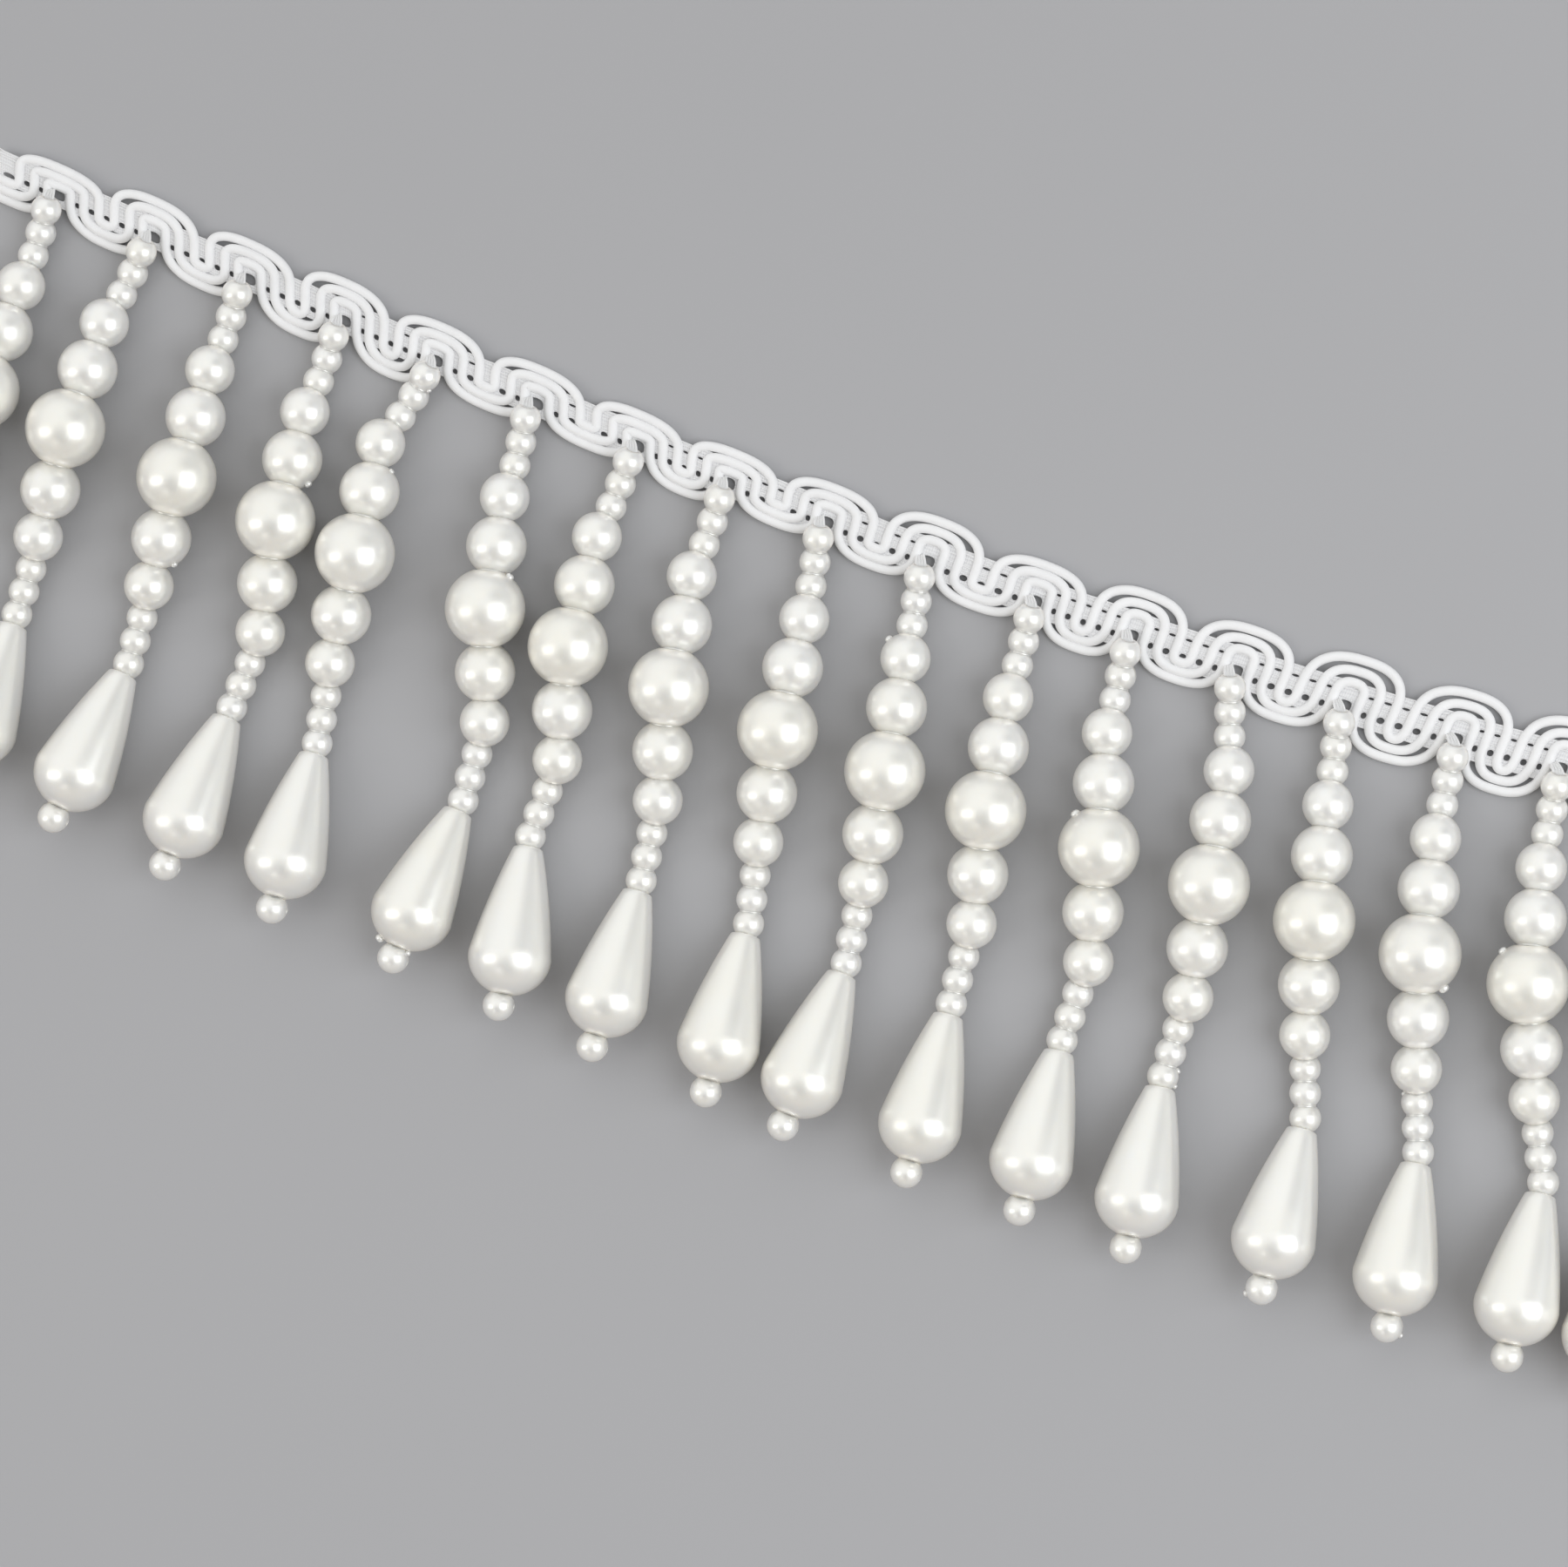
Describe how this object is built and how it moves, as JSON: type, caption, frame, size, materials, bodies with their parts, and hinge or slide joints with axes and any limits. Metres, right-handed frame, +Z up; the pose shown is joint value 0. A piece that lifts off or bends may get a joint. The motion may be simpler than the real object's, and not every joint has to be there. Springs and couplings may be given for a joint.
{
  "type": "beaded trim",
  "caption": "Beaded fringe trim lying flat: a narrow scalloped gimp braid, with a strand of graduated round pearls ending in a teardrop pearl hanging under each scallop.",
  "frame": {"origin": "in the surface that the trim lies on, under the middle of the trim's box", "axes": "+X along the braid, to the right with the strands hanging down; +Y from the strands to the braid; +Z up, away from the surface"},
  "size_m": [0.1292, 0.0442, 0.0054],
  "materials": {
    "gimp": "satin rayon cord and fine knitted ground, cool white",
    "pearl": "pearlescent coating, ivory white, soft gloss"
  },
  "bodies": {
    "root": {"gimp_braid": "gimp", "strand_01": "pearl", "strand_02": "pearl", "strand_03": "pearl", "strand_04": "pearl", "strand_05": "pearl", "strand_06": "pearl", "strand_07": "pearl", "strand_08": "pearl", "strand_09": "pearl", "strand_10": "pearl", "strand_11": "pearl", "strand_12": "pearl", "strand_13": "pearl", "strand_14": "pearl", "strand_15": "pearl", "strand_16": "pearl", "strand_17": "pearl"}
  },
  "joints": []
}
